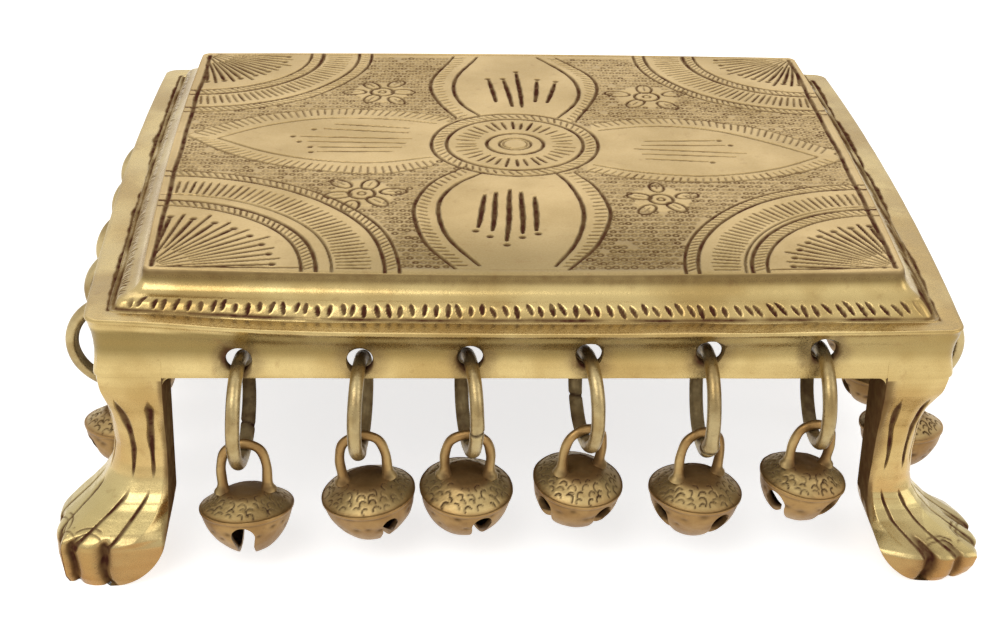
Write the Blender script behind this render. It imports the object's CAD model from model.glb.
import math
import bpy
import numpy as np
from mathutils import Matrix, Vector


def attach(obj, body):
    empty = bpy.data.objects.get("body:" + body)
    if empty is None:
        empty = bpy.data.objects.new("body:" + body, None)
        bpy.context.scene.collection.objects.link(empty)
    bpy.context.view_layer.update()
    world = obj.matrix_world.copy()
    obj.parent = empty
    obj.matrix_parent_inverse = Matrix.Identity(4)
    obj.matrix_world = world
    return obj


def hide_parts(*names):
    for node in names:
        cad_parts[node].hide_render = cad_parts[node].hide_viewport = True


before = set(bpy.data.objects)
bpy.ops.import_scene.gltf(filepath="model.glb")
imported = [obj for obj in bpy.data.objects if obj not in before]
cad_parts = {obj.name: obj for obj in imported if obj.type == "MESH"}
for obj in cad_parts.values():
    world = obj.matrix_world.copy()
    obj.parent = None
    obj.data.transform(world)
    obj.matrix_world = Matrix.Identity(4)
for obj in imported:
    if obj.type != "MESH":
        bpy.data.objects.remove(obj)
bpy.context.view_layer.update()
SEED = 11
MM = 0.001

# Sizes shared with the frame, in millimetres
HALF_WIDTH, HALF_DEPTH = 78.0, 68.0
SLAB_TOP = 56.5
APRON_BOTTOM = 38.9
LEG_X, LEG_Y = 65.0, 55.0
LEG_TOP = 47.3
RING_DIAMETER, RING_WIRE, RING_STEPS = 20.6, 2.6, 14
HOLE_DIAMETER, WEB, RING_GAP = 4.6, 1.2, 0.35
# A bell's diameter is a share of the pitch, and its loop's span a share of the diameter
BELL_WALL, BELL_SHARE, LOOP_SPAN = 1.2, 0.795, 0.575
LOOP_WIRE, LOOP_TOP = 0.9, RING_WIRE / 2 + 0.3 + 1.7
SLAB_INSET, SLAB_CORNER = 9.9, 1.5


# Camera, floor, world and lamps
def aim(pitch, yaw, roll):
    forward = Vector((math.sin(yaw) * math.cos(pitch), math.cos(yaw) * math.cos(pitch), -math.sin(pitch)))
    right = Vector((math.cos(yaw), -math.sin(yaw), 0))
    up = right.cross(forward)
    side = right * math.cos(roll) + up * math.sin(roll)
    top = up * math.cos(roll) - right * math.sin(roll)
    return Matrix((side, top, -forward)).transposed()


def add_object(name, data):
    ob = bpy.data.objects.new(name, data)
    bpy.context.collection.objects.link(ob)
    return ob


def add_node(tree, kind, sockets=None, **settings):
    """A node with its settings. Each socket gets a number or a colour, or a link."""
    node = tree.nodes.new("ShaderNode" + kind)
    for key, value in settings.items():
        setattr(node, key, value)
    for key, value in (sockets or {}).items():
        if isinstance(value, (int, float, tuple)):
            node.inputs[key].default_value = value
        else:
            tree.links.new(value, node.inputs[key])
    return node


def empty_tree(owner):
    owner.use_nodes = True
    owner.node_tree.nodes.clear()
    return owner.node_tree


def make_camera():
    data = bpy.data.cameras.new("camera")
    data.sensor_width, data.lens = 36, 71.52
    data.clip_start, data.clip_end = 0.01, 20
    camera = add_object("camera", data)
    turn = aim(math.radians(26.23), math.radians(3.0), math.radians(1.45))
    camera.matrix_world = Matrix.Translation(Vector((-21.6, -379.8, 206.5)) * MM) @ turn.to_4x4()
    bpy.context.scene.camera = camera


def area_light(name, at, size, power):
    data = bpy.data.lights.new(name, "AREA")
    data.shape = "RECTANGLE"
    data.size, data.size_y = size
    data.energy = power
    lamp = add_object(name, data)
    lamp.location = at
    lamp.rotation_euler = (Vector((0, 0, 0.03)) - Vector(at)).to_track_quat("-Z", "Y").to_euler()


def mix_by_ray(tree, lighting, background, output):
    """lighting is what falls on the object, background what the camera sees, also in the metal."""
    path = add_node(tree, "LightPath").outputs
    seen = path["Is Camera Ray"]
    for ray in ("Is Glossy Ray", "Is Transmission Ray"):
        seen = add_node(tree, "Math", {0: seen, 1: path[ray]}, operation="MAXIMUM").outputs[0]
    mix = add_node(tree, "MixShader", {0: seen, 1: lighting, 2: background})
    add_node(tree, output, {0: mix.outputs[0]})


def make_floor():
    me = bpy.data.meshes.new("floor")
    s = 6.0
    me.from_pydata([(-s, -s, 0), (s, -s, 0), (s, s, 0), (-s, s, 0)], [], [(0, 1, 2, 3)])
    mat = bpy.data.materials.new("pale_floor")
    tree = empty_tree(mat)
    diffuse = add_node(tree, "BsdfDiffuse", {"Color": (0.80, 0.80, 0.79, 1)}).outputs[0]
    glow = add_node(tree, "Emission", {"Color": (1, 1, 1, 1), "Strength": 0.72}).outputs[0]
    both = add_node(tree, "AddShader", {0: diffuse, 1: glow}).outputs[0]
    mix_by_ray(tree, diffuse, both, "OutputMaterial")
    me.materials.append(mat)
    add_object("floor", me)


def make_world():
    world = bpy.data.worlds.new("studio")
    bpy.context.scene.world = world
    tree = empty_tree(world)
    soft, white = (add_node(tree, "Background", {"Color": (1, 1, 1, 1), "Strength": strength}).outputs[0]
                   for strength in (0.6, 1.0))
    mix_by_ray(tree, soft, white, "OutputWorld")


make_camera()
make_floor()
make_world()
area_light("key", (-0.35, -0.55, 0.75), (0.6, 0.5), 2.6)
area_light("fill", (0.7, -0.4, 0.5), (0.5, 0.6), 1.2)
area_light("back", (0.1, 0.7, 0.8), (0.9, 0.5), 1.6)
bpy.context.scene.view_settings.view_transform = "Standard"


# Small tools
def smooth(edge0, edge1, x):
    t = np.clip((x - edge0) / (edge1 - edge0), 0, 1)
    return t * t * (3 - 2 * t)


def wobble(seed, *axes):
    """A smooth field of about -1 to 1 from a few sine waves, the same each run."""
    rng = np.random.default_rng(SEED * 1000 + seed)
    total = 0
    for _ in range(5):
        phase = rng.uniform(0, 2 * math.pi)
        reach = sum(a * w for a, w in zip(axes, rng.normal(0, 1, len(axes))))
        total = total + np.sin(reach + phase)
    return total / 2.6


def mesh_object(name, verts, faces, floats=None):
    """A mesh object from vertices in millimetres and arrays of faces with 3 or 4 corners."""
    me = bpy.data.meshes.new(name)
    verts = np.asarray(verts, np.float32) * MM
    faces = [np.asarray(f, np.int32) for f in faces if len(f)]
    corners = np.concatenate([f.ravel() for f in faces])
    sizes = np.concatenate([np.full(len(f), f.shape[1], np.int32) for f in faces])
    starts = np.concatenate([[0], np.cumsum(sizes)[:-1]]).astype(np.int32)
    me.vertices.add(len(verts))
    me.vertices.foreach_set("co", verts.ravel())
    me.loops.add(len(corners))
    me.loops.foreach_set("vertex_index", corners)
    me.polygons.add(len(sizes))
    me.polygons.foreach_set("loop_start", starts)
    me.polygons.foreach_set("loop_total", sizes)
    me.update(calc_edges=True)
    me.polygons.foreach_set("use_smooth", np.ones(len(sizes), bool))
    for key, values in (floats or {}).items():
        set_floats(me, key, values)
    return add_object(name, me)


def plain_object(name, verts, faces):
    """A mesh object from vertices in millimetres and faces with any number of corners."""
    me = bpy.data.meshes.new(name)
    me.from_pydata([tuple(c * MM for c in v) for v in verts], [], faces)
    return add_object(name, me)


def grid_faces(rows, columns, closed=False, start=0, flip=False):
    """Quads between rows of vertices. With closed, the last column joins the first."""
    r = np.arange(rows - 1)[:, None] * columns
    c = np.arange(columns if closed else columns - 1)[None, :]
    n = (c + 1) % columns
    quads = np.stack([r + c, r + n, r + columns + n, r + columns + c], -1).reshape(-1, 4) + start
    return quads[:, ::-1] if flip else quads


def closed_faces(rows, steps, start=0, flip=False):
    """The faces of a closed surface: rows of steps points each, then one point for either end."""
    j = np.arange(steps)
    ahead = (j + 1) % steps
    k = start + rows * steps
    ends = [np.stack([start + ahead, start + j, np.full(steps, k)], -1),
            np.stack([k - steps + j, k - steps + ahead, np.full(steps, k + 1)], -1)]
    if flip:
        ends = [end[:, [1, 0, 2]] for end in ends]
    return [grid_faces(rows, steps, closed=True, start=start, flip=flip)] + ends


def combine(target, other, how):
    """Joins other to target or cuts it away, and keeps only the result."""
    step = target.modifiers.new("step", "BOOLEAN")
    step.object, step.operation, step.solver = other, how, "MANIFOLD"
    graph = bpy.context.evaluated_depsgraph_get()
    made = bpy.data.meshes.new_from_object(target.evaluated_get(graph))
    old = target.data
    target.modifiers.clear()
    target.data = made
    bpy.data.meshes.remove(old)
    used = other.data
    bpy.data.objects.remove(other)
    bpy.data.meshes.remove(used)


def vertex_values(me, key):
    values = np.empty(len(me.vertices) * 3, np.float32)
    me.vertices.foreach_get(key, values)
    return values.reshape(-1, 3)


def full_turn(n):
    return np.linspace(0, 2 * math.pi, n, endpoint=False)


def revolved(r, angle, z):
    return np.stack([r * np.cos(angle), r * np.sin(angle), z], -1).reshape(-1, 3)


def set_floats(me, key, values):
    data = me.attributes.get(key) or me.attributes.new(key, "FLOAT", "POINT")
    data.data.foreach_set("value", np.asarray(values, np.float32))


def get_floats(me, key):
    values = np.empty(len(me.vertices), np.float32)
    me.attributes[key].data.foreach_get("value", values)
    return values


# Engraving
def curve(points, step=0.7):
    """A smooth line through hand-set points, with a point about every step millimetres."""
    p = np.asarray(points, float)
    if len(p) == 2:
        n = max(2, int(np.hypot(*(p[1] - p[0])) / step) + 1)
        return p[0] + (p[1] - p[0]) * np.linspace(0, 1, n)[:, None]
    ends = np.vstack([2 * p[0] - p[1], p, 2 * p[-1] - p[-2]])
    made = []
    for a, b, c, d in zip(ends, ends[1:], ends[2:], ends[3:]):
        n = max(2, int(np.hypot(*(c - b)) / step) + 1)
        t = np.linspace(0, 1, n, endpoint=False)[:, None]
        square, cube = 2 * a - 5 * b + 4 * c - d, 3 * b - a - 3 * c + d
        made.append(0.5 * (2 * b + (c - a) * t + square * t**2 + cube * t**3))
    return np.vstack(made + [p[-1:]])


def arc(x, y, radius, start, stop, n=24):
    a = np.radians(np.linspace(start, stop, n))
    return np.stack([x + radius * np.cos(a), y + radius * np.sin(a)], -1)


def spoke(x, y, angle, reaches):
    return np.array([(x + r * math.cos(angle), y + r * math.sin(angle)) for r in reaches])


def line_normals(line):
    ahead = np.gradient(line, axis=0)
    ahead /= np.hypot(*ahead.T)[:, None]
    return np.stack([-ahead[:, 1], ahead[:, 0]], -1)


def evenly(points, n):
    """n points at even spacing along a line."""
    run = np.concatenate([[0], np.cumsum(np.hypot(*np.diff(points, axis=0).T))])
    at = np.linspace(0, run[-1], n)
    return np.stack([np.interp(at, run, points[:, 0]), np.interp(at, run, points[:, 1])], -1)


def inside(outline, x, y):
    """True where the points lie inside a closed outline."""
    hit = np.zeros(np.shape(x), bool)
    for (ax, ay), (bx, by) in zip(outline, np.roll(outline, -1, axis=0)):
        if ay != by:
            hit ^= ((ay > y) != (by > y)) & (x < (bx - ax) * (y - ay) / (by - ay) + ax)
    return hit


class Engraving:
    """Cuts on a grid of points: how deep each point lies and how much patina it holds."""

    def __init__(self, x, y):
        self.x, self.y = x, y
        self.depth = np.zeros(x.shape)
        self.dark = np.zeros(x.shape)
        self.rng = np.random.default_rng(SEED)

    def window(self, low, high):
        """The rows and columns of the grid between two corners, with a few to spare."""
        picks = []
        for k, count, values in ((1, self.x.shape[0], self.y), (0, self.x.shape[1], self.x)):
            half = np.abs(values).max()
            first, last = (low[k] / half + 1) / 2 * count - 3, (high[k] / half + 1) / 2 * count + 4
            picks.append(slice(*(int(v) for v in np.clip([first, last], 0, count))))
        return tuple(picks)

    def cut(self, where, near, depth, dark):
        f = 1 - smooth(0.35, 1.0, near)
        self.depth[where] = np.maximum(self.depth[where], f * depth)
        self.dark[where] = np.maximum(self.dark[where], f * dark)

    def line(self, points, width=0.55, depth=0.28, dark=0.9, ends=1.0, fade=0.2, wedge=1.0):
        """ends and wedge narrow the line at its ends and at its start, and fade makes the patina uneven."""
        n = len(points)
        along = np.linspace(0, 1, n)
        shape = ends + (1 - ends) * np.sin(math.pi * along) ** 0.6
        ripple = 1 + 0.1 * np.sin(along * n * 0.9 + self.rng.uniform(0, 6))
        half = width / 2 * shape * (wedge + (1 - wedge) * along) * ripple
        tone = dark * (1 - fade * (0.5 + 0.5 * np.sin(along * n * 0.31 + self.rng.uniform(0, 6))))
        for i in range(n - 1):
            a, b = points[i], points[i + 1]
            room = width + 0.3
            where = self.window(np.minimum(a, b) - room, np.maximum(a, b) + room)
            x, y = self.x[where], self.y[where]
            d = b - a
            t = np.clip(((x - a[0]) * d[0] + (y - a[1]) * d[1]) / max(d @ d, 1e-9), 0, 1)
            near = np.hypot(x - a[0] - t * d[0], y - a[1] - t * d[1])
            self.cut(where, near / (half[i] + (half[i + 1] - half[i]) * t + 0.12), depth, tone[i])

    def dot(self, x, y, radius=0.7, depth=0.4, dark=0.95):
        where = self.window((x - radius * 2, y - radius * 2), (x + radius * 2, y + radius * 2))
        near = np.hypot(self.x[where] - x, self.y[where] - y)
        self.cut(where, near / (radius + 0.12), depth, dark)

    def ticks(self, inner, outer, n, start=0.15, stop=0.85, lean=0.0, width=0.5, depth=0.22, dark=0.8):
        """Short strokes across the band between two lines."""
        a, b = evenly(inner, n + 1), evenly(outer, n + 1)
        slip = int(round(lean))
        for i in range(n + 1):
            j = i + slip
            if 0 <= j <= n:
                s = start + self.rng.uniform(-0.05, 0.05)
                e = stop + self.rng.uniform(-0.05, 0.05)
                p, q = a[i] + (b[j] - a[i]) * s, a[i] + (b[j] - a[i]) * e
                self.line(np.array([p, (p + q) / 2, q]), width, depth, dark * self.rng.uniform(0.6, 1.0),
                          ends=0.55)

    def punches(self, ground, pitch_x=1.55, pitch_y=1.75):
        """Rows of small ring punches over the ground."""
        rows = int(130 / pitch_y) + 4
        columns = int(150 / pitch_x) + 4
        shift = self.rng.uniform(-0.17, 0.17, (rows, columns, 2))
        force = self.rng.uniform(0.35, 1.0, (rows, columns)) * (self.rng.random((rows, columns)) > 0.03)
        j, i = np.mgrid[0:rows, 0:columns]
        cx = (i - columns // 2 + 0.5 * (j % 2)) * pitch_x + shift[..., 0]
        cy = (j - rows // 2) * pitch_y + shift[..., 1]
        size = 0.5 + 0.05 * wobble(3, cx / 9, cy / 9) + self.rng.uniform(-0.04, 0.04, cx.shape)
        force *= ground(cx, cy)
        at_j = np.clip(np.round(self.y / pitch_y).astype(int) + rows // 2, 1, rows - 2)
        for dj in (-1, 0, 1):
            jj = at_j + dj
            at_i = np.round(self.x / pitch_x - 0.5 * (jj % 2)).astype(int) + columns // 2
            for di in (-1, 0, 1):
                ii = np.clip(at_i + di, 0, columns - 1)
                r = np.hypot(self.x - cx[jj, ii], self.y - cy[jj, ii])
                ring = np.abs(r - size[jj, ii])
                self.cut(slice(None), np.maximum(ring / 0.34, 1 - force[jj, ii] * 4), 0.18, 0.0)
                f = (1 - smooth(0.08, 0.32, ring)) * force[jj, ii]
                self.dark = np.maximum(self.dark, 0.85 * f)


# The plan of the top, in millimetres from the middle of the slab: +x right, +y back
ROSETTE = (0.7, 2.9)
PETALS = {
    "front": {
        "inner": ([(-6.3, -12.6), (-11.5, -18.5), (-14.8, -26.0), (-15.6, -34.5), (-14.0, -43.5),
                   (-8.6, -55.5)],
                  [(7.8, -12.2), (10.4, -18.5), (11.9, -27.0), (11.6, -36.5), (9.6, -46.0), (5.2, -55.5)]),
        "outer": ([(-9.8, -9.6), (-16.0, -17.0), (-19.3, -25.5), (-20.4, -34.0), (-18.6, -45.0),
                   (-13.0, -57.0)],
                  [(11.8, -12.5), (15.4, -19.5), (16.9, -28.0), (16.6, -35.5), (13.6, -46.5), (7.5, -57.0)]),
        "strokes": [((-6.2, -23.8), (-8.3, -38.8)), ((-4.0, -22.6), (-5.6, -40.2)),
                    ((-1.3, -21.2), (-3.0, -44.6)),
                    ((0.8, -22.4), (0.1, -41.2)), ((3.3, -24.6), (2.7, -40.0))],
        "dots": [(-8.8, -40.4), (-6.1, -42.8), (-3.0, -46.4), (0.0, -43.0), (3.0, -41.4)],
    },
    "back": {
        "inner": ([(-6.0, 19.2), (-9.6, 26.0), (-11.3, 34.5), (-10.3, 45.3), (-5.8, 57.6)],
                  [(10.6, 18.0), (14.8, 26.5), (16.2, 35.3), (14.7, 45.3), (8.2, 57.6)]),
        "outer": ([(-11.0, 18.0), (-14.6, 27.0), (-16.3, 36.2), (-15.3, 45.3), (-11.2, 57.8)],
                  [(14.2, 16.0), (18.4, 27.0), (20.5, 37.0), (19.3, 46.0), (12.6, 57.4)]),
        "strokes": [((-3.5, 41.6), (-2.3, 27.6)), ((-0.2, 41.6), (1.2, 24.9)), ((2.8, 46.4), (3.3, 24.5)),
                    ((7.2, 41.0), (6.2, 27.8)), ((11.2, 39.8), (8.8, 27.4))],
        "dots": [(-3.8, 42.4), (-0.4, 42.6), (2.7, 47.4), (7.4, 42.2), (11.5, 41.0)],
    },
    "left": {
        "inner": ([(-15.4, 14.2), (-25.3, 16.6), (-38.7, 17.0), (-50.3, 12.6), (-60.4, 4.8)],
                  [(-16.2, -4.7), (-27.0, -7.8), (-38.7, -6.8), (-50.3, -2.4), (-60.4, 4.6)]),
        "outer": ([(-12.4, 18.0), (-22.0, 21.4), (-36.2, 22.9), (-49.0, 20.2), (-58.6, 14.6), (-66.6, 6.6)],
                  [(-15.6, -9.0), (-25.3, -13.4), (-35.5, -12.8), (-48.0, -9.0), (-58.6, -2.6),
                   (-66.6, 5.8)]),
        "strokes": [((-36.6, 13.6), (-21.3, 11.4)), ((-38.7, 10.8), (-21.6, 8.7)),
                    ((-43.4, 6.3), (-20.8, 5.3)),
                    ((-42.0, 3.6), (-22.0, 2.8)), ((-39.6, 0.5), (-22.8, 0.5)),
                    ((-39.6, -2.0), (-24.5, -1.8))],
        "dots": [(-41.0, 10.4), (-45.2, 6.3), (-43.8, 3.4), (-41.4, 0.5), (-41.0, -2.3)],
    },
    "right": {
        "inner": ([(18.6, 10.6), (28.0, 12.9), (36.3, 12.8), (44.7, 10.2), (53.4, 4.4), (62.3, -3.4)],
                  [(16.0, -8.6), (25.0, -12.4), (36.3, -14.3), (45.5, -13.0), (54.0, -9.6), (62.3, -3.6)]),
        "outer": ([(17.4, 14.6), (27.0, 17.6), (36.0, 17.8), (45.0, 15.9), (55.0, 11.0), (66.4, 0.6)],
                  [(14.4, -11.8), (24.6, -15.8), (38.0, -17.3), (49.5, -15.4), (58.6, -11.4), (66.6, -5.4)]),
        "strokes": [((28.0, 4.5), (42.4, 5.2)), ((27.2, 2.2), (44.2, 2.6)), ((25.5, 0.2), (48.0, -1.8)),
                    ((26.8, -2.6), (45.5, -3.8)), ((27.2, -5.3), (39.6, -6.6))],
        "dots": [(43.5, 5.3), (45.5, 2.7), (40.6, -6.9)],
    },
}

# Corner fans: corner, radius of the fan, of the hatched band and of the outer pair of lines
FANS = [
    {"at": (-68.0, -57.8), "start": 0, "fan": 25.0, "pair": (27.6, 30.2), "hatch": (34.0, 40.0),
     "outer": (42.4, 45.0)},
    {"at": (68.0, -57.8), "start": 90, "fan": 21.6, "pair": (24.4, 27.2), "hatch": (29.4, 34.6),
     "outer": (37.0, 39.4)},
    {"at": (68.0, 58.4), "start": 180, "fan": 20.4, "pair": (23.6, 26.0), "hatch": (27.4, 33.2),
     "outer": (35.0, 37.4)},
    {"at": (-68.0, 58.6), "start": 270, "fan": 21.4, "pair": (24.6, 27.2), "hatch": (28.6, 33.6),
     "outer": (35.4, 38.2)},
]

# Small flowers: middle, size, turn in degrees and number of petals
FLOWERS = [(-30.4, -23.6, 1.0, 10, 6), (27.6, -25.8, 0.9, 90, 5), (-26.8, 33.4, 0.95, 60, 6),
           (31.2, 31.4, 1.05, 20, 5)]


def closed_petal(lines):
    first, second = lines
    return np.vstack([curve(first), curve(second)[::-1]])


def engrave_petal(art, plan, side):
    inner = [curve(p) for p in plan["inner"]]
    outer = [curve(p) for p in plan["outer"]]
    strong = side in ("front", "back")
    for line in inner:
        art.line(line, 0.95 if strong else 0.5, 0.36, 1.0 if strong else 0.8, ends=0.5)
    for line in outer:
        art.line(line, 0.9 if strong else 0.5, 0.34, 1.0 if strong else 0.75, ends=0.45)
    for a, b in zip(inner, outer):
        length = np.hypot(*np.diff(b, axis=0).T).sum()
        if strong:
            art.ticks(a, b, int(length / 1.7), 0.45, 0.85, lean=-1, width=0.5, dark=0.85)
        else:
            art.ticks(a, b, int(length / 1.6), 0.38, 0.95, lean=-1, width=0.42, dark=0.75)
    for a, b in plan["strokes"]:
        line = curve((a, b))
        if strong:
            art.line(line, 1.15, 0.45, 1.05, ends=0.4, fade=0.05)
        else:
            art.line(line, 0.55, 0.32, 0.9, ends=0.5)
    for x, y in plan["dots"]:
        art.dot(x, y, 0.72 if strong else 0.6, dark=1.0)


def engrave_rosette(art):
    x, y = ROSETTE
    for radius, width, dark in ((17.3, 0.75, 0.95), (14.2, 0.8, 1.0), (5.9, 0.8, 1.0), (3.3, 0.5, 0.85),
                                (2.5, 0.3, 0.4)):
        art.line(arc(x, y, radius, 0, 360, 120), width, 0.32, dark)
    art.ticks(arc(x, y, 14.6, 0, 360, 200), arc(x, y, 17.0, 0, 360, 200), 62, 0.15, 0.85, lean=1, width=0.45,
              dark=0.85)
    for k in range(36):
        a = math.radians(k * 10 + art.rng.uniform(-1.5, 1.5))
        r0, r1 = 8.4 + art.rng.uniform(-0.4, 0.5), 12.3 + art.rng.uniform(-0.5, 0.5)
        strong = 0.5 + 0.5 * abs(math.sin(a))
        art.line(spoke(x, y, a, (r0, (r0 + r1) / 2, r1)), 0.5 + 0.25 * strong, 0.28, 0.6 + 0.4 * strong,
                 ends=0.5)


def engrave_fan(art, fan):
    (x, y), start = fan["at"], fan["start"]
    for radius, width, dark in (
        (fan["pair"][0], 0.6, 0.9), (fan["pair"][1], 0.8, 1.0), (fan["outer"][0], 0.75, 1.0),
        (fan["outer"][1], 0.65, 0.95),
        (fan["hatch"][0] - 1.0, 0.4, 0.6),
    ):
        art.line(arc(x, y, radius, start - 2, start + 92, 60), width, 0.3, dark)
    a, b = (arc(x, y, fan["hatch"][k], start + 1, start + 89, 80) for k in (0, 1))
    art.ticks(a, b, int(fan["hatch"][1]), 0.0, 0.95, lean=0, width=0.6, depth=0.28, dark=1.0)
    for low, high in (fan["pair"], fan["outer"]):
        a, b = (arc(x, y, r, start, start + 90, 80) for r in (low + 0.3, high - 0.3))
        art.ticks(a, b, int(high * 1.55 / 1.4), 0.1, 0.9, lean=1, width=0.42, dark=0.8)
    sectors = 8
    for k in range(sectors + 1):
        t = math.radians(start + 90 * k / sectors)
        reach = fan["fan"] * (0.97 + 0.03 * math.cos(k * 2.1))
        if 0 < k < sectors:
            art.line(spoke(x, y, t, np.linspace(3.0, reach, 16)), 0.8, 0.34, 1.0, ends=0.7, wedge=0.35)
    for k in range(sectors):
        t = math.radians(start + 90 * (k + 0.5) / sectors)
        reach = fan["fan"] * 0.86
        art.line(spoke(x, y, t, np.linspace(reach * 0.4, reach, 12)), 1.2, 0.38, 1.05, ends=0.6, wedge=0.2)
        art.dot(x + (reach + 1.0) * math.cos(t), y + (reach + 1.0) * math.sin(t), 0.75, dark=1.0)


def engrave_flower(art, x, y, size, turn, petals):
    art.line(arc(x, y, 2.6 * size, 0, 360, 28), 0.7, 0.3, 1.0)
    art.line(arc(x, y, 0.8 * size, 0, 360, 14), 0.4, 0.25, 0.8)
    for k in range(petals):
        a = math.radians(turn + 360 * k / petals)
        reach = (5.6 + 0.8 * math.cos(3.1 * k)) * size
        out = np.array([math.cos(a), math.sin(a)])
        side = np.array([-out[1], out[0]])
        middle = np.array([x, y]) + out * reach
        loop = [middle + out * 2.7 * size * math.cos(q) + side * 1.6 * size * math.sin(q)
                for q in np.linspace(0, 2 * math.pi, 20)]
        art.line(np.array(loop), 0.55, 0.28, 0.95)
        art.line(np.array([middle - out * size, middle + out * size]), 0.4, 0.2, 0.6, ends=0.5)


def engrave_top(x, y):
    """Depth and patina of the slab's top at each point of the grid."""
    art = Engraving(x + 0.25 * wobble(1, x / 11, y / 11), y + 0.25 * wobble(2, x / 11, y / 11))
    shapes = [closed_petal(p["outer"]) for p in PETALS.values()]

    def ground(px, py):
        free = np.hypot(px - ROSETTE[0], py - ROSETTE[1]) > 18.0
        for shape in shapes:
            free &= ~inside(shape, px, py)
        for fan in FANS:
            free &= np.hypot(px - fan["at"][0], py - fan["at"][1]) > fan["outer"][1] + 0.5
        for fx, fy, size, _, _ in FLOWERS:
            free &= np.hypot(px - fx, py - fy) > 6.4 * size
        return free & (np.abs(px) < 66.8) & (np.abs(py) < 57.2)

    art.punches(ground)
    wide = ground(art.x, art.y)
    art.depth += 0.05 * wide
    art.dark = np.maximum(art.dark, 0.16 * wide)
    for side, plan in PETALS.items():
        engrave_petal(art, plan, side)
    engrave_rosette(art)
    for fan in FANS:
        engrave_fan(art, fan)
    for flower in FLOWERS:
        engrave_flower(art, *flower)
    for side in (-1, 1):
        edge = curve([(side * 67.0, -57), (side * 67.3, -20), (side * 67.2, 20), (side * 66.9, 57)])
        art.line(edge, 1.0, 0.34, 1.05)
    for start, stop in ((-66, -40), (44, 66)):
        art.line(curve([(start, -57.2), (stop, -57.0)]), 0.6, 0.28, 0.9, ends=0.4)
    return art.depth, art.dark


# Casting: slab, border, rim and apron as one shell, four legs, and the holes for the rings
SLAB_STEPS_X, SLAB_STEPS_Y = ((620, 530))
SLAB_BOW = 1.1


def outline(s, t, inset, bow, radius):
    """Points of a rounded rectangle with swelling sides, from shares -1 to 1 of its two halves."""
    a, b = HALF_WIDTH - inset, HALF_DEPTH - inset
    x, y = s * a, t * b
    u = np.clip((np.abs(x) - (a - radius)) / radius, 0, 1)
    v = np.clip((np.abs(y) - (b - radius)) / radius, 0, 1)
    corner = (u > 0) & (v > 0)
    round_x = a - radius + radius * u * np.sqrt(1 - v * v / 2)
    round_y = b - radius + radius * v * np.sqrt(1 - u * u / 2)
    x = np.where(corner, np.sign(x) * round_x, x)
    y = np.where(corner, np.sign(y) * round_y, y)
    swell_x = bow * np.sign(x) * (1 - (y / b) ** 2) * np.abs(x) / a
    swell_y = bow * np.sign(y) * (1 - (x / a) ** 2) * np.abs(y) / b
    return x + swell_x, y + swell_y


# The profile from the slab's edge out and down to the rim: inset from the rim's outline and height
BORDER = [(9.9, 56.5), (9.62, 56.25), (9.45, 55.4), (9.2, 54.4), (8.8, 53.5), (8.2, 52.75), (7.5, 52.2),
          (6.95, 51.9),
          (6.5, 51.7), (5.9, 51.1), (5.35, 50.3), (4.95, 49.6), (4.6, 48.95), (4.2, 48.8), (3.9, 48.98)]
# Then over the rim and round the apron to the hollow's roof: inset, height, bow and corner radius
RIM = [(3.9, 48.98, 0.9, 1.6), (3.5, 48.95, 1.05, 1.7), (3.1, 48.99, 1.15, 1.8), (2.6, 49.03, 1.3, 1.9),
       (1.2, 49.03, 1.75, 2.3), (0.3, 49.0, 2.0, 2.5),
       (0.08, 48.9, 2.0, 2.5), (0.0, 48.7, 2.0, 2.5), (0.04, 48.5, 1.95, 2.5), (0.3, 47.9, 1.75, 2.5),
       (0.5, 46.7, 1.35, 2.5), (0.78, 45.6, 0.85, 2.5), (0.96, 44.4, 0.4, 2.5), (1.02, 43.2, 0.1, 2.5),
       (0.95, 42.0, 0.0, 2.5), (0.8, 40.9, 0.0, 2.5), (0.66, 40.0, 0.0, 2.5), (0.6, 39.3, 0.0, 2.5),
       (0.68, 39.0, 0.0, 2.5), (1.0, 38.9, 0.0, 2.5), (2.2, 38.9, 0.0, 2.2), (3.2, 38.95, 0.0, 2.0),
       (3.65, 39.2, 0.0, 1.8), (3.8, 39.9, 0.0, 1.6), (3.8, 41.5, 0.0, 1.6), (3.8, 43.5, 0.0, 1.6),
       (3.8, 45.6, 0.0, 1.6), (4.3, 46.0, 0.0, 1.6), (8.0, 46.0, 0.0, 1.6), (10.6, 46.0, 0.0, 1.6),
       (11.0, 46.4, 0.0, 1.6), (11.0, 50.0, 0.0, 1.6), (11.0, 52.6, 0.0, 1.6), (11.5, 53.0, 0.0, 1.6),
       (30.0, 53.0, 0.0, 1.6)]


def border_marks(along, down, front):
    """Notches on the border's lower slope: how deep and how dark, from the place along a side and down it."""
    rng = np.random.default_rng(SEED + (4 if front else 5))
    jitter = rng.uniform(-0.32, 0.32, 400)
    force = rng.uniform(0.35, 1.0, 400)
    drop = rng.uniform(-0.35, 0.35, 400)
    lean = rng.uniform(-0.2, 0.2, 400)
    pitch, slope, wide, tall, middle = (1.95, 0.22, 0.46, 1.35, 7.7) if front else (1.1, 0.75, 0.26, 1.4, 7.5)
    k = np.clip(np.round((along - slope * (down - middle)) / pitch).astype(int) + 200, 0, 399)
    u = along - (slope + lean[k]) * (down - middle) - (k - 200) * pitch - jitter[k]
    near = np.hypot(u / wide, (down - middle - drop[k]) / (tall * (0.7 + 0.4 * force[k])))
    cut = (1 - smooth(0.6, 1.15, near)) * (0.35 + 0.65 * force[k])
    return cut * (0.5 if front else 0.2), np.clip(cut * (1.9 if front else 1.1), 0, 1)


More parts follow.
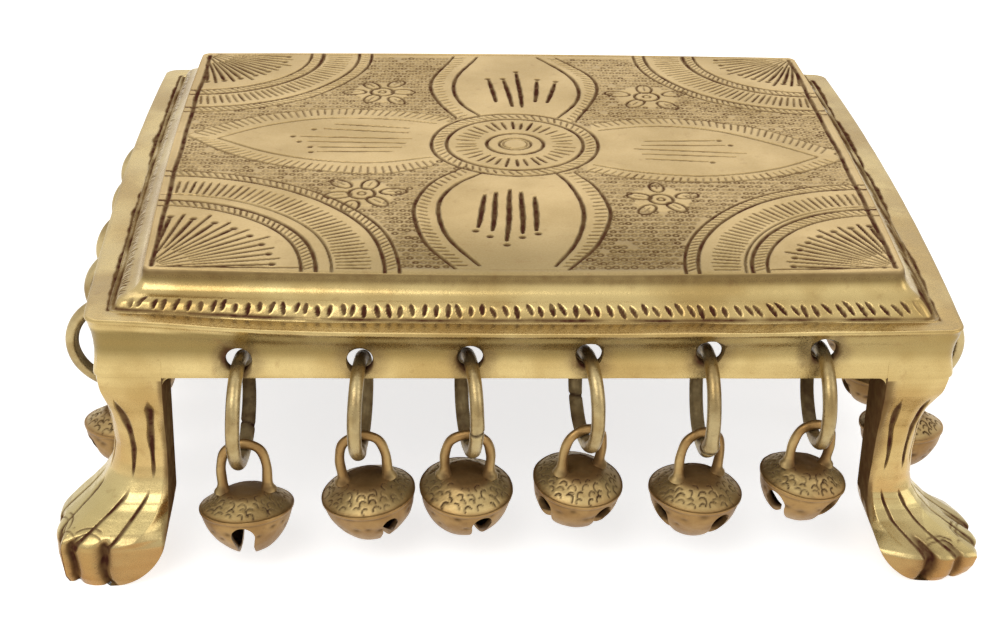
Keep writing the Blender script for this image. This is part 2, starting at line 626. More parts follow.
def settle(verts):
    """The small errors of the casting: the slab sags at its front edge and a corner of the rim is bent up."""
    x, y, z = verts.T
    sag = 0.7 * np.clip(1 - (x / 70) ** 2, 0, 1) * smooth(10, 62, -y) * smooth(50.0, 54.0, z)
    corner = np.exp(-(((x + 78) / 26) ** 2) - ((y + 68) / 22) ** 2)
    bent = 1.7 * corner * smooth(41.5, 46.5, z) * (1 - smooth(50.0, 53.0, z))
    return np.stack([x, y, z - sag + bent], -1)


def make_shell():
    s = np.linspace(-1, 1, SLAB_STEPS_X + 1)
    t = np.linspace(-1, 1, SLAB_STEPS_Y + 1)
    grid_s, grid_t = np.meshgrid(s, t)
    x, y = outline(grid_s, grid_t, SLAB_INSET, SLAB_BOW, SLAB_CORNER)
    depth, dark = engrave_top(x, y)
    edge = np.minimum(1 - np.abs(grid_s), 1 - np.abs(grid_t)) * 60
    hollow = 0.13 * smooth(0, 1, (y - 30) / 28) * (1 - smooth(20, 66, np.abs(x)))
    z = SLAB_TOP - 0.11 - depth * smooth(0, 1.0, edge) - hollow + 0.05 * wobble(5, x / 14, y / 14)
    z -= 0.12 * (1 - smooth(0, 1.2, edge))
    verts = [np.stack([x, y, np.minimum(z, SLAB_TOP - 0.02)], -1).reshape(-1, 3)]
    darks = [dark.ravel()]
    nx, ny = SLAB_STEPS_X, SLAB_STEPS_Y
    faces = [grid_faces(ny + 1, nx + 1)]
    # The edge of the grid, anticlockwise from the front left corner
    ring = np.concatenate([
        np.arange(nx), nx + (nx + 1) * np.arange(ny),
        ny * (nx + 1) + np.arange(nx, 0, -1), (nx + 1) * np.arange(ny, 0, -1),
    ])
    ring_s, ring_t = grid_s.ravel()[ring], grid_t.ravel()[ring]
    n = len(ring)
    profile = curve(BORDER, 0.26)[1:]
    run = np.concatenate([[0], np.cumsum(np.hypot(*np.diff(profile, axis=0).T))]) + 0.3
    start = len(verts[0])
    x0, y0 = outline(ring_s, ring_t, SLAB_INSET, SLAB_BOW, SLAB_CORNER)
    front = np.abs(ring_t) >= np.abs(ring_s)
    along = np.where(front, x0, y0)
    end_fade = 1 - smooth(0.955, 0.985, np.minimum(np.abs(ring_s), np.abs(ring_t)))
    for (inset, height), down in zip(profile, run):
        band = smooth(5.7, 6.3, down) * (1 - smooth(9.0, 9.6, down))
        rough = (0.05 + 0.16 * band) * wobble(21, ring_s * 60, ring_t * 60, down) * smooth(0.3, 1.5, down)
        depth_f, dark_f = border_marks(along, down, True)
        depth_s, dark_s = border_marks(along, down, False)
        cut = np.where(front, depth_f, depth_s) * end_fade
        tone = np.where(front, dark_f, dark_s) * end_fade
        foot = np.exp(-(((down - 9.6) / np.where(front, 0.36, 0.8)) ** 2))
        foot = foot * (0.85 + 0.35 * wobble(8, along / 3))
        stain = np.where(ring_s > 0, 0.75 + 0.3 * wobble(9, along / 1.5, down), 0.15)
        side_dark = np.where(front, 0.0, stain) * band
        under_edge = np.full(n, 0.34 * smooth(0.25, 0.6, down) * (1 - smooth(1.6, 3.0, down)))
        tone = np.maximum.reduce([tone, foot, side_dark, under_edge])
        px, py = outline(ring_s, ring_t, inset + cut * 0.6 + rough * 0.5, SLAB_BOW, SLAB_CORNER)
        verts.append(np.stack([px, py, np.full(n, height) - cut * 0.6 + rough * 0.4], -1))
        darks.append(tone)
    first = np.arange(n)
    nxt = (first + 1) % n
    faces.append(np.stack([ring[nxt], ring[first], start + first, start + nxt], -1))
    faces.append(grid_faces(len(profile), n, closed=True, start=start, flip=True))
    # Half as many points from here on
    last = start + n * (len(profile) - 1)
    coarse = start + n * len(profile)
    m = n // 2
    j = np.arange(m)
    c0, c1 = coarse + j, coarse + (j + 1) % m
    f0, f1, f2 = last + 2 * j, last + 2 * j + 1, last + (2 * j + 2) % n
    faces += [np.stack([f1, f0, c0], -1), np.stack([c1, f1, c0], -1), np.stack([f2, f1, c1], -1)]
    cs, ct = ring_s[::2], ring_t[::2]
    rim = np.array(RIM)
    knots = np.arange(len(rim))
    halves = [np.linspace(a, a + 1, 2, endpoint=False) for a in knots[:-1]]
    fine = np.concatenate(halves + [[len(rim) - 1]])[1:]
    rows = np.stack([np.interp(fine, knots, rim[:, k]) for k in range(4)], -1)
    for inset, height, bow, radius in rows:
        face = inset < 1.3 and height < 48.6
        wave = np.zeros(m)
        if inset < 4 and (face or height > 47.5):
            wave = 0.08 * wobble(31, cs * 16, ct * 16, height / 4)
        if face:
            wave = wave + 0.025 * wobble(32, cs * 60, ct * 60, height / 1.5)
        nudge = np.maximum(wave, -inset) if inset > 0.3 else np.abs(wave) * 0.5
        x, y = outline(cs, ct, inset + nudge, bow, radius)
        if inset > 25:
            x, y = x * 0.35, y * 0.35
        lift = 0.06 * wobble(33, cs * 14, ct * 14) - 0.05 if height > 47.5 and 0.4 < inset < 4 else 0.0
        verts.append(np.stack([x, y, np.full(m, height) + lift], -1))
        # Dirt in the groove between border and rim, widest along the sides
        ragged = 3.3 + 0.35 * wobble(34, x / 4, y / 4) + 0.15 * wobble(35, x, y)
        groove = 0.0
        if 2.5 < inset < 4 and height > 48.5:
            groove = smooth(ragged - 0.25, ragged + 0.25, inset) * np.where(front[::2], 0.25, 1.0)
        darks.append(np.zeros(m) + groove)
    faces.append(grid_faces(len(rows), m, closed=True, start=coarse, flip=True))
    centre = coarse + m * len(rows)
    verts.append(np.array([[0, 0, 53.0]]))
    darks.append(np.zeros(1))
    tail = centre - m
    faces.append(np.stack([tail + (j + 1) % m, tail + j, np.full(m, centre)], -1))
    return mesh_object("table_casting_dressed", settle(np.concatenate(verts)), faces,
                       {"dark": np.concatenate(darks)})


# Each leg by height in millimetres. reach: how far the outer faces stand from the leg's inner corner.
# inner: reach at the inner edge as a share. corner: reach at the rounded corner as a share.
# ridge: where the lobe's face meets the instep, as a share of the way to the corner.
# line_1 and line_2: the grooves beside the toes, as shares of the way to the corner.
LEFT_LEG = {
    "reach": [(0, 19.9), (1.5, 20.5), (4, 20.8), (7.6, 20.9), (8.5, 20.7), (9.2, 20.2), (10, 19.3),
              (11, 17.9), (13, 15.0),
              (15, 12.7), (17.5, 11.2), (20, 10.5), (23, 10.1), (27, 10.4), (31, 11.0), (35, 11.9),
              (38.5, 12.3),
              (41, 12.15), (43.5, 11.8), (LEG_TOP, 11.6)],
    "inner": [(0, 0.88), (8, 0.9), (10, 0.85), (12, 0.78), (15, 0.93), (20, 1.0), (30, 1.1), (36, 1.02),
              (LEG_TOP, 1)],
    "corner": [(0, 0.91), (9, 0.92), (12, 0.89), (15, 0.83), (20, 0.83), (30, 0.86), (36, 0.93),
               (LEG_TOP, 0.95)],
    "ridge": [(0, 0.5), (8.4, 0.52), (9.2, 0.32), (11.8, 0.18), (14.8, 0.1), (20, 0.1), (LEG_TOP, 0.3)],
    "line_1": [(0, 0.56), (8.2, 0.54), (9.5, 0.49), (11, 0.45), (15, 0.34), (18, 0.30), (26, 0.31),
               (34, 0.27), (LEG_TOP, 0.27)],
    "line_2": [(0, 0.86), (8.2, 0.845), (12, 0.78), (15.5, 0.70), (18, 0.68), (27, 0.74), (34, 0.83),
               (LEG_TOP, 0.84)],
    "toe": 8.0, "gaps": ((0.585, 0.048, 1.5, 0.95), (0.885, 0.040, 1.3, 0.9)), "line": 0.36,
}
RIGHT_LEG = {
    "reach": [(0, 19.6), (1.2, 20.3), (3, 20.7), (5.3, 20.7), (6.0, 20.0), (6.8, 17.8), (7.8, 15.0),
              (9, 12.5), (11, 10.3),
              (13, 9.0), (15, 8.6), (20, 8.5), (23, 8.7), (27, 9.1), (31, 10.2), (35, 11.7), (38.5, 12.3),
              (41, 12.15),
              (43.5, 11.8), (LEG_TOP, 11.6)],
    "inner": [(0, 0.8), (5, 0.84), (9, 0.86), (12, 0.88), (15, 0.92), (20, 1.04), (30, 1.12), (36, 1.02),
              (LEG_TOP, 1)],
    "corner": [(0, 0.87), (5, 0.92), (9, 0.92), (12, 0.89), (15, 0.83), (20, 0.83), (30, 0.85), (36, 0.93),
               (LEG_TOP, 0.95)],
    "ridge": [(0, 0.45), (6, 0.45), (6.6, 0.34), (7.6, 0.24), (9.2, 0.13), (12, 0.1), (20, 0.1),
              (LEG_TOP, 0.3)],
    "line_1": [(0, 0.52), (6, 0.47), (7.5, 0.42), (9, 0.34), (12, 0.30), (20, 0.40), (28, 0.36), (34, 0.33),
               (LEG_TOP, 0.33)],
    "line_2": [(0, 0.82), (6, 0.77), (9, 0.74), (12.5, 0.73), (19, 0.86), (26, 0.89), (34, 0.85),
               (LEG_TOP, 0.85)],
    "toe": 6.0, "gaps": ((0.53, 0.056, 1.7, 1.0), (0.83, 0.046, 1.0, 0.55)), "line": 0.27,
}
LEG_ROWS, LEG_HALF, LEG_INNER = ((240, 120, 14))
# Half of a leg's rows lie below the top of the paw
PAW_TOP, HEEL_RUN, HEEL_RISE = 14, 10.4, 10.5


def ease(values, passes=2):
    """Evens out a row of numbers and keeps its ends."""
    v = np.array(values, float)
    for _ in range(passes):
        v[1:-1] = (v[:-2] + 2 * v[1:-1] + v[2:]) / 4
    return v


def table(rows, at):
    rows = np.array(rows)
    return np.interp(at, rows[:, 0], rows[:, 1])


def blend(first, second, share):
    """The plan of a leg between two others."""
    height = np.linspace(0, LEG_TOP, 60)
    made = {}
    for key in ("reach", "inner", "corner", "ridge", "line_1", "line_2"):
        values = (1 - share) * table(first[key], height) + share * table(second[key], height)
        made[key] = list(zip(height, values))
    made["toe"] = (1 - share) * first["toe"] + share * second["toe"]
    made["line"] = first["line"]
    pairs = zip(first["gaps"], second["gaps"])
    made["gaps"] = tuple(tuple((1 - share) * p + share * q for p, q in zip(a, b)) for a, b in pairs)
    return made


def make_leg(plan, seed):
    """One leg with its inner corner at the origin and its outer faces towards +X and +Y."""
    height = np.concatenate([np.linspace(0, PAW_TOP, LEG_ROWS // 2, endpoint=False),
                             np.linspace(PAW_TOP, LEG_TOP, LEG_ROWS - LEG_ROWS // 2)])
    reach, inner, corner = (ease(table(plan[key], height), 2) for key in ("reach", "inner", "corner"))
    ridge, line_1, line_2 = (ease(table(plan[key], height), 4) for key in ("ridge", "line_1", "line_2"))
    p = np.linspace(0, 1, LEG_HALF)
    toe = plan["toe"]
    toe_reach = np.interp(toe, height, reach)
    first_gap, second_gap = plan["gaps"][0][0], plan["gaps"][1][0]
    tips = [((first_gap + second_gap) / 2 * 0.91 * toe_reach, toe_reach - 0.4),
            (0.91 * toe_reach, 0.91 * toe_reach)]
    verts, darks = [], []
    for z, r, g, c, e, first_line, second_line in zip(height, reach, inner, corner, ridge, line_1, line_2):
        out = 1 - (1 - g) * np.clip(1 - p / e, 0, 1) ** 1.25 - (1 - c) * np.clip((p - 0.55) / 0.45, 0, 1) ** 2
        half = np.stack([p * c, out], -1) * r
        cut, tone = np.zeros(LEG_HALF), np.zeros(LEG_HALF)
        below = 1 - smooth(toe + 0.1, toe + 2.2, z)
        for middle, wide, depth, stain in plan["gaps"]:
            shift = 0.012 * math.sin(z * 0.8 + middle * 9)
            near = np.exp(-(((p - middle - shift) / (wide * 0.9)) ** 2))
            broad = np.exp(-(((p - middle) / (wide * 2.4)) ** 2))
            cut += depth * (0.8 * near + 0.35 * broad) * below
            tone += (0.9 * near + 0.45 * broad) * stain * below * (1 - 0.3 * (1 - smooth(0.5, toe - 3.0, z)))
        instep = smooth(toe - 1.2, toe - 0.2, z) * (1 - smooth(toe + 6.0, toe + 8.0, z))
        shank = smooth(17.0, 19.5, z) * (1 - smooth(31.5, 34.5, z))
        for at, turn in ((first_line, 0.0), (second_line, 2.6)):
            sway = 0.12 * math.sin(z * 0.5 + seed + turn)
            brush = 0.9 + 0.16 * math.sin(z * 0.9 + seed * 2 + turn)
            wide = plan["line"] * (instep * 0.9 + shank * (0.7 + 1.3 * smooth(18, 31, z))) * brush + 0.08
            near = np.exp(-(((p * c * r - at * c * r - sway) / wide) ** 4))
            cut += near * 0.38 * np.clip(instep + shank, 0, 1)
            tone += near * 1.0 * np.clip(instep + shank, 0, 1)
        # Two arcs on the top of each toe, behind its edge
        for across_tip, out_tip in tips:
            gap = np.hypot(np.hypot(half[:, 0] - across_tip, half[:, 1] - out_tip), max(z - toe, 0) * 0.9)
            on = smooth(toe - 0.3, toe + 0.1, z) * smooth(2.6, 2.2, np.abs(half[:, 0] - across_tip))
            for radius, strong in ((2.9, 0.85), (4.0, 1.0)):
                mark = np.exp(-(((gap - radius) / 0.2) ** 2)) * on * strong
                cut += 0.1 * mark
                tone += 0.8 * mark
        rough = 0.10 * wobble(40 + seed, half[:, 0] / 5, half[:, 1] / 5, z / 4)
        rough = rough + 0.03 * wobble(45 + seed, half[:, 0], half[:, 1], z)
        outward = half[:, 1] - cut - np.where(z < 12, np.maximum(rough, 0), rough * 0.5)
        first = np.stack([outward, half[:, 0]], -1)
        second = np.stack([half[:, 0], outward], -1)[::-1][1:]
        inner_a = np.linspace(0, 1, LEG_INNER)[1:]
        path = np.concatenate([first, second, second[-1] * (1 - inner_a[:, None]),
                               first[0] * inner_a[:-1, None]])
        tones = np.concatenate([tone, tone[::-1][1:], np.zeros(2 * LEG_INNER - 3)])
        if z < HEEL_RISE:
            lift = HEEL_RUN * (1 - math.sqrt(1 - (1 - z / HEEL_RISE) ** 2))
            path = np.maximum(path, [lift, lift])
        verts.append(np.concatenate([path, np.full((len(path), 1), z)], 1))
        darks.append(tones)
    n = len(verts[0])
    made = np.concatenate(verts)
    tone = np.concatenate(darks)
    low, high = made[:n].mean(0), made[-n:].mean(0)
    tone = np.clip(np.concatenate([tone, [0, 0]]), 0, 1)
    return np.vstack([made, low, high]), closed_faces(LEG_ROWS, n), tone


def make_legs():
    verts, faces, tones = [], [], []
    start = 0
    plans = [blend(LEFT_LEG, RIGHT_LEG, 0.6), blend(LEFT_LEG, RIGHT_LEG, 0.3), LEFT_LEG, RIGHT_LEG]
    for quarter, plan in enumerate(plans):
        made, parts, tone = make_leg(plan, quarter)
        a = quarter * math.pi / 2
        c, s = round(math.cos(a)), round(math.sin(a))
        sign_x, sign_y = (1 if quarter in (0, 3) else -1), (1 if quarter < 2 else -1)
        placed = np.stack([made[:, 0] * c - made[:, 1] * s + sign_x * LEG_X,
                           made[:, 0] * s + made[:, 1] * c + sign_y * LEG_Y, made[:, 2]], -1)
        verts.append(placed)
        faces += [f + start for f in parts]
        tones.append(tone)
        start += len(made)
    return mesh_object("legs", np.concatenate(verts), faces, {"dark": np.concatenate(tones)})


def make_fillets():
    """Small round corners where the apron meets the legs' inner faces."""
    radius = 1.9
    turns = np.linspace(0, math.pi / 2, 9)
    verts, faces = [], []
    for along_x in (True, False):
        for sign_a in (-1, 1):
            for sign_b in (-1, 1):
                face = LEG_X if along_x else LEG_Y
                wall = (HALF_DEPTH if along_x else HALF_WIDTH) - 2.2
                low = APRON_BOTTOM + 0.1
                shape = [(face - radius + radius * math.sin(q), low - radius + radius * math.cos(q))
                         for q in turns]
                shape += [(face + 1.5, low - radius), (face + 1.5, low + 1.3), (face - radius, low + 1.3)]
                start = len(verts)
                n = len(shape)
                for depth in (-1.3, 1.3):
                    for a, z in shape:
                        u, v = sign_a * a, sign_b * wall + depth
                        verts.append((u, v, z) if along_x else (v, u, z))
                flip = (sign_a > 0) == along_x
                for k in range(n):
                    q = (start + k, start + (k + 1) % n, start + n + (k + 1) % n, start + n + k)
                    faces.append(q if not flip else q[::-1])
                bottom = tuple(range(start, start + n))
                top = tuple(range(start + n, start + 2 * n))
                faces.append(bottom[::-1] if not flip else bottom)
                faces.append(top if not flip else top[::-1])
    return plain_object("fillets", verts, faces)


# Rows of rings: count, pitch, distance out, shifts, lifts, ring and bell shares, quarter turn
FRONT_SHIFT, SIDE_SHIFT = [0.01, 0.05, 0, 0.03, 0.075, 0.075], [0, 0.02, 0, -0.02, 0]
FRONT_LIFT, SIDE_LIFT = [0, 0, 0.11, 0.24, 0.35, 0.43], [0, 0.05, 0.1, 0.05, 0]
FRONT_RING, SIDE_RING = [1.07, 1, 1, 0.99, 1.04, 1.03], [1.01, 0.97, 1, 0.96, 1]
FRONT_BELL, SIDE_BELL = [1.05, 1.03, 1.03, 0.96, 1.02, 0.92], [1.02, 1, 0.98, 1, 0.97]
ROWS = {
    "front": (6, 20.6, 65.9, FRONT_SHIFT, FRONT_LIFT, FRONT_RING, FRONT_BELL, 0),
    "right": (5, 20.4, 75.9, SIDE_SHIFT, SIDE_LIFT, SIDE_RING, SIDE_BELL, 1),
    "back": (6, 20.6, 65.9, FRONT_SHIFT, FRONT_LIFT, FRONT_RING, FRONT_BELL, 2),
    "left": (5, 20.4, 75.9, SIDE_SHIFT, SIDE_LIFT, SIDE_RING, SIDE_BELL, 3),
}


def places():
    """Each hole: row, index, ring share, bell diameter, height of its lowest point, place in metres."""
    for row, (count, pitch, out, shifts, lifts, rings, bells, turn) in ROWS.items():
        for k in range(count):
            along = (k - (count - 1) / 2 + shifts[k]) * pitch
            turned = Matrix.Rotation(turn * math.pi / 2, 4, "Z")
            web_top = APRON_BOTTOM + WEB + lifts[k] * HOLE_DIAMETER
            place = Matrix.Translation(Vector((along, -out, 0)) * MM)
            yield row, k, rings[k], bells[k] * pitch * BELL_SHARE, web_top, turned @ place


def make_holes():
    steps = 28
    body = [(3.2, -5), (3.2, -2.2), (2.9, -1.85), (2.62, -1.5), (2.44, -1.15), (2.34, -0.8), (2.3, -0.45),
            (2.3, 0),
            (2.34, 0.5), (2.5, 0.95), (2.78, 1.3), (3.1, 1.62), (3.35, 1.9), (3.35, 3.2)]
    verts, faces = [], []
    turns = full_turn(steps)
    rows = len(body)
    for number, (_, _, _, _, web_top, matrix) in enumerate(places()):
        turn = np.array(matrix.to_3x3())
        at = np.array(matrix.translation) / MM
        start = number * (rows * steps + 2)
        middle = web_top + HOLE_DIAMETER / 2
        points = [np.stack([r * np.cos(turns), np.full(steps, y), middle + r * np.sin(turns)], -1)
                  for r, y in body]
        points.append(np.array([[0, body[0][1], middle], [0, body[-1][1], middle]]))
        verts.append(np.concatenate(points) @ turn.T + at)
        faces += closed_faces(rows, steps, start, flip=True)
    return mesh_object("holes", np.concatenate(verts), faces)


def make_casting():
    shell = make_shell()
    legs = make_legs()
    combine(legs, make_fillets(), "UNION")
    combine(shell, legs, "UNION")
    combine(shell, make_holes(), "DIFFERENCE")
    me = shell.data
    me.set_sharp_from_angle(angle=math.radians(42))
    dark = np.nan_to_num(get_floats(me, "dark"))
    x, y, z = (vertex_values(me, "co") / MM).T
    away_x, away_y = np.abs(x), np.abs(y)
    for number, (_, _, _, _, web_top, matrix) in enumerate(places()):
        at = np.array(matrix.translation) / MM
        near = np.hypot(np.hypot(x - at[0], y - at[1]), (z - web_top - HOLE_DIAMETER / 2) * 0.95)
        near = near + 0.5 * wobble(50 + number, x / 1.5, y / 1.5, z / 1.5)
        dark = np.maximum(dark, 0.95 * (1 - smooth(2.3, 3.7, near)))
        dark = np.maximum(dark, 0.32 * (1 - smooth(3.2, 6.0, near)))
    # The hollow under the top and the legs' inner faces have never been polished
    low_part = (z < 46.1) & (away_x < 74.3) & (away_y < 64.3)
    hollow = (z > 38.96) & (low_part | ((z < 53.1) & (away_x < 67.1) & (away_y < 57.1)))
    on_x = (np.abs(away_x - LEG_X) < 0.04) & (away_y > LEG_Y - 0.1)
    on_y = (np.abs(away_y - LEG_Y) < 0.04) & (away_x > LEG_X - 0.1)
    leg_inside = (z < APRON_BOTTOM + 0.2) & (z > 0.01) & (on_x | on_y)
    near_x, near_y = (away_x < 75) & (away_x > LEG_X - 1), (away_y < 65) & (away_y > LEG_Y - 1)
    heel = (z < HEEL_RISE) & (z > 0.01) & (near_x | near_y)
    band_width = np.where(x > 0, 1.2 + 1.8 * smooth(14, 24, z), 1.3)
    edge_x = (1 - smooth(0.1, band_width, away_x - LEG_X)) * (away_x > LEG_X - 0.02) * (away_y > LEG_Y + 3)
    edge_y = (1 - smooth(0.1, band_width, away_y - LEG_Y)) * (away_y > LEG_Y - 0.02) * (away_x > LEG_X + 3)
    edge = np.maximum(edge_x, edge_y) * (z < APRON_BOTTOM - 0.4) * (0.75 + 0.3 * wobble(57, x, y, z / 2))
    raw = np.maximum.reduce([0.9 * hollow, 0.9 * leg_inside, 0.2 * (heel & ~leg_inside), 0.75 * edge])
    set_floats(me, "raw", np.clip(raw, 0, 1))
    set_floats(me, "dark", np.clip(dark, 0, 1))
    # Brown tone on the upright sides of the paws and a pale worn instep, and dirt along the legs' inner edges
    up = vertex_values(me, "normal")[:, 2]
    on_leg = (1 - smooth(33, 40, z)) * ~leg_inside
    upright = 1 - smooth(0.0, 0.8, up)
    patches = 1 - 0.3 * smooth(0, 1, wobble(58, x / 4, y / 4, z / 4))
    set_floats(me, "warm", on_leg * upright * (1 - 0.65 * smooth(9, 24, z)) * patches)
    set_floats(me, "worn", on_leg * smooth(0.1, 0.7, up) * (z > 3) * (0.8 + 0.2 * wobble(59, x / 4, y / 4)))
    # The slab's top is brushed matte, the rest is polished, and the apron is dull under the rim
    set_floats(me, "polish", np.where(z > 55.3, 0.0, 1.0))
    outer = (away_x > 74.5) | (away_y > 64.5)
    band = smooth(41.0, 44.6, z) * (1 - smooth(48.2, 48.75, z)) * outer
    cove = smooth(53.4, 54.6, z) * (1 - smooth(55.6, 56.2, z)) * 0.75
    set_floats(me, "dull", np.maximum(band * (0.9 - 0.3 * smooth(10, 60, x)), cove))
    return shell


# Rings, bells and pellets. A yaw is in degrees about the upright, seen from above.
RING_YAW = {"front": [-6, -6, 9, 10, 1, 0], "left": [4, -3, 5, -4, 2], "right": [-3, 4, -2, 5, -4],
            "back": [3, -4, 2, -6, 5, -2]}
# Where a ring's joint lies, from 0 at its top over pi at its bottom, and how thick the joint is
RING_JOINT = {"front": [(2.35, 0.05), (3.5, 0.25), (4.6, 0.12), (2.0, 0.0), (4.05, 0.38), (1.35, 0.4)],
              "left": [(2.4, 0.1), (4.0, 0.2), (2.1, 0.1), (3.9, 0.3), (2.6, 0.0)],
              "right": [(3.9, 0.35), (2.4, 0.1), (4.2, 0.2), (2.0, 0.1), (2.7, 0.3)],
              "back": [(2.2, 0.1), (4.1, 0.3), (2.6, 0.1), (3.9, 0.2), (2.0, 0.1), (4.3, 0.2)]}
BELL_YAW = {"front": [0, 2, 0, 24, 22, 14], "left": [5, -8, 12, 3, -6], "right": [-8, 10, -4, 14, 6],
            "back": [8, -5, 14, -10, 4, 12]}
# Degrees that a crown leans towards the front, and how much larger than in the frame a bell is
BELL_LEAN = {"front": [-7, 2, 8, 7, 1, 2]}
BELL_GROWTH = {"front": [1.015, 1.05, 1.045, 1.08, 1.055, 1.09]}
# Shares of the way from a cone's bowl to a round one
FRONT_FULLNESS = [0.1, 0.25, 0.7, 1.0, 0.1, 0.5]
# How much higher than in the frame the bottom of a ring lies
RING_RISE = {"front": [-0.5, 0, -0.2, 0.1, -0.2, 0.9]}
# Degrees that a bell rolls to one side
BELL_ROLL = {"front": [3, 7.5, -1.5, -5, -3, -8], "left": [2, -3, 4, -2, 3], "right": [-3, 2, -4, 3, 1],
             "back": [3, -4, 2, -2, 4, -3]}
# Each bell's slots: turn of the first, two or four openings, width, drop from the ridge to the slot's head
TWO, FOUR = "two openings", "four openings"
SLOTS = {"front": [(-3, TWO, 4.3, 0.9), (29, TWO, 3.1, 1.6), (22, TWO, 3.9, 0.9), (38, FOUR, 3.9, 0.9),
                   (33, FOUR, 3.7, 0.9),
                   (43, FOUR, 4.4, 0.8)],
         "left": [(20, TWO, 3.6, 1.5), (-40, FOUR, 3.4, 1.5), (35, TWO, 3.2, 1.6), (42, FOUR, 3.4, 1.3),
                  (28, TWO, 4.0, 1.3)],
         "right": [(30, TWO, 3.8, 1.4), (15, TWO, 3.6, 1.5), (-38, FOUR, 3.4, 1.4), (8, TWO, 3.2, 1.6),
                   (-12, TWO, 4.0, 1.3)],
         "back": [(10, TWO, 3.6, 1.5), (-40, FOUR, 3.4, 1.4), (30, TWO, 3.4, 1.6), (-8, TWO, 4.2, 1.2),
                  (42, FOUR, 3.4, 1.4),
                  (-35, TWO, 3.2, 1.5)]}
DETAIL = 1


def wire_height(share, web_top):
    """Height of the middle of a ring's lowest wire, as the frame has it."""
    centre_radius = (RING_DIAMETER * share - RING_WIRE) / 2
    flat = math.cos(math.pi / RING_STEPS)
    return web_top + RING_GAP - (centre_radius - RING_WIRE / 2) * flat - centre_radius * flat, centre_radius


def about(at, angle, axis):
    """A turn in degrees about an axis through a height in millimetres."""
    move = Matrix.Translation(Vector((0, 0, at)) * MM)
    return move @ Matrix.Rotation(math.radians(angle), 4, axis) @ move.inverted()


def make_ring(name, share, web_top, matrix, seed, yaw, joint, rise):
    """A ring of round wire, hung on the web under its hole and closed with a rough joint."""
    low, radius = wire_height(share, web_top)
    low += rise
    top = web_top + 0.08 + RING_WIRE / 2
    centre, tall = (low + top) / 2, (top - low) / 2
    steps, sides = 144 // DETAIL, 24 // DETAIL
    a, b = np.meshgrid(full_turn(steps), full_turn(sides), indexing="ij")
    off = (a - joint[0] + math.pi) % (2 * math.pi) - math.pi
    lump = joint[1] * np.exp(-((off / 0.19) ** 2)) * (0.85 + 0.25 * np.sin(b * 2 + seed))
    gap = np.exp(-(((off - 0.03 * np.sin(b)) / 0.026) ** 2))
    wire = RING_WIRE / 2 * (0.985 + 0.025 * wobble(seed, np.cos(a) * 2, np.sin(a) * 2))
    wire = wire + 0.018 * wobble(seed + 1, a * 6, b * 2)
    worn = np.exp(-((np.cos(a) - 1) / 0.05) ** 2) + np.exp(-((np.cos(a) + 1) / 0.05) ** 2)
    wire = wire - 0.26 * gap - 0.05 * worn + lump
    out = wire * np.cos(b)
    slip = 0.35 * joint[1] * np.sign(off) * np.exp(-((off / 0.25) ** 2))
    x = wire * np.sin(b) + 0.25 * math.sin(seed) * np.sin(a) + slip
    y = (radius + out + 0.12 * np.cos(2 * a + seed)) * np.sin(a)
    z = (tall + out) * np.cos(a) + centre
    faces = grid_faces(steps, sides, closed=True)
    last = (steps - 1) * sides
    j = np.arange(sides)
    seam = np.stack([last + j, last + (j + 1) % sides, (j + 1) % sides, j], -1)
    # The far half and the inside of a ring stay brown, the near half is worn bright
    far = smooth(-0.35, 0.55, np.sin(a)) * 0.55
    inside_face = 0.45 * smooth(0.2, 0.9, -np.cos(b))
    spots = 0.3 * smooth(0.2, 1, wobble(seed + 2, a * 3, b)) + 0.3 * np.abs(lump) / 0.4
    dark = np.clip(0.95 * gap + np.maximum(far, inside_face) + spots * 0.6, 0, 1)
    ob = mesh_object(name, np.stack([x, y, z], -1).reshape(-1, 3), [faces, seam], {"dark": dark.ravel()})
    ob.data.transform(matrix @ about(top, yaw, "Z"))
    return ob, low


CROWN = [(0, 1), (0.3, 0.985), (0.44, 0.94), (0.52, 0.86), (0.6, 0.73), (0.7, 0.56), (0.8, 0.4),
         (0.89, 0.24), (0.96, 0.11)]
CONE_BOWL = [(0.965, 0.07), (0.945, 0.17), (0.89, 0.34), (0.80, 0.52), (0.68, 0.69), (0.54, 0.84),
             (0.4, 0.94), (0.26, 0.985),
             (0.12, 1), (0, 1)]
ROUND_BOWL = [(0.965, 0.07), (0.955, 0.18), (0.92, 0.36), (0.85, 0.54), (0.75, 0.71), (0.62, 0.85),
              (0.47, 0.94), (0.3, 0.985),
              (0.14, 1), (0, 1)]


def bell_profile(diameter, fullness):
    """The outer profile from crown to foot in the bell's own frame, the ridge's height, the bowl's depth."""
    radius = diameter / 2
    upper, lower = diameter * 0.195, diameter * 0.487
    middle = LOOP_TOP - diameter * 0.555 - upper
    over = [(radius * r, middle + upper * h) for r, h in CROWN]
    ridge = [(radius * 0.99, middle + 0.34), (radius, middle + 0.14), (radius * 0.998, middle - 0.2),
             (radius * 0.985, middle - 0.4)]
    under = (1 - fullness) * np.array(CONE_BOWL) + fullness * np.array(ROUND_BOWL)
    under = [(radius * r, middle - lower * h) for r, h in under]
    return np.array(over + ridge + under), middle, lower


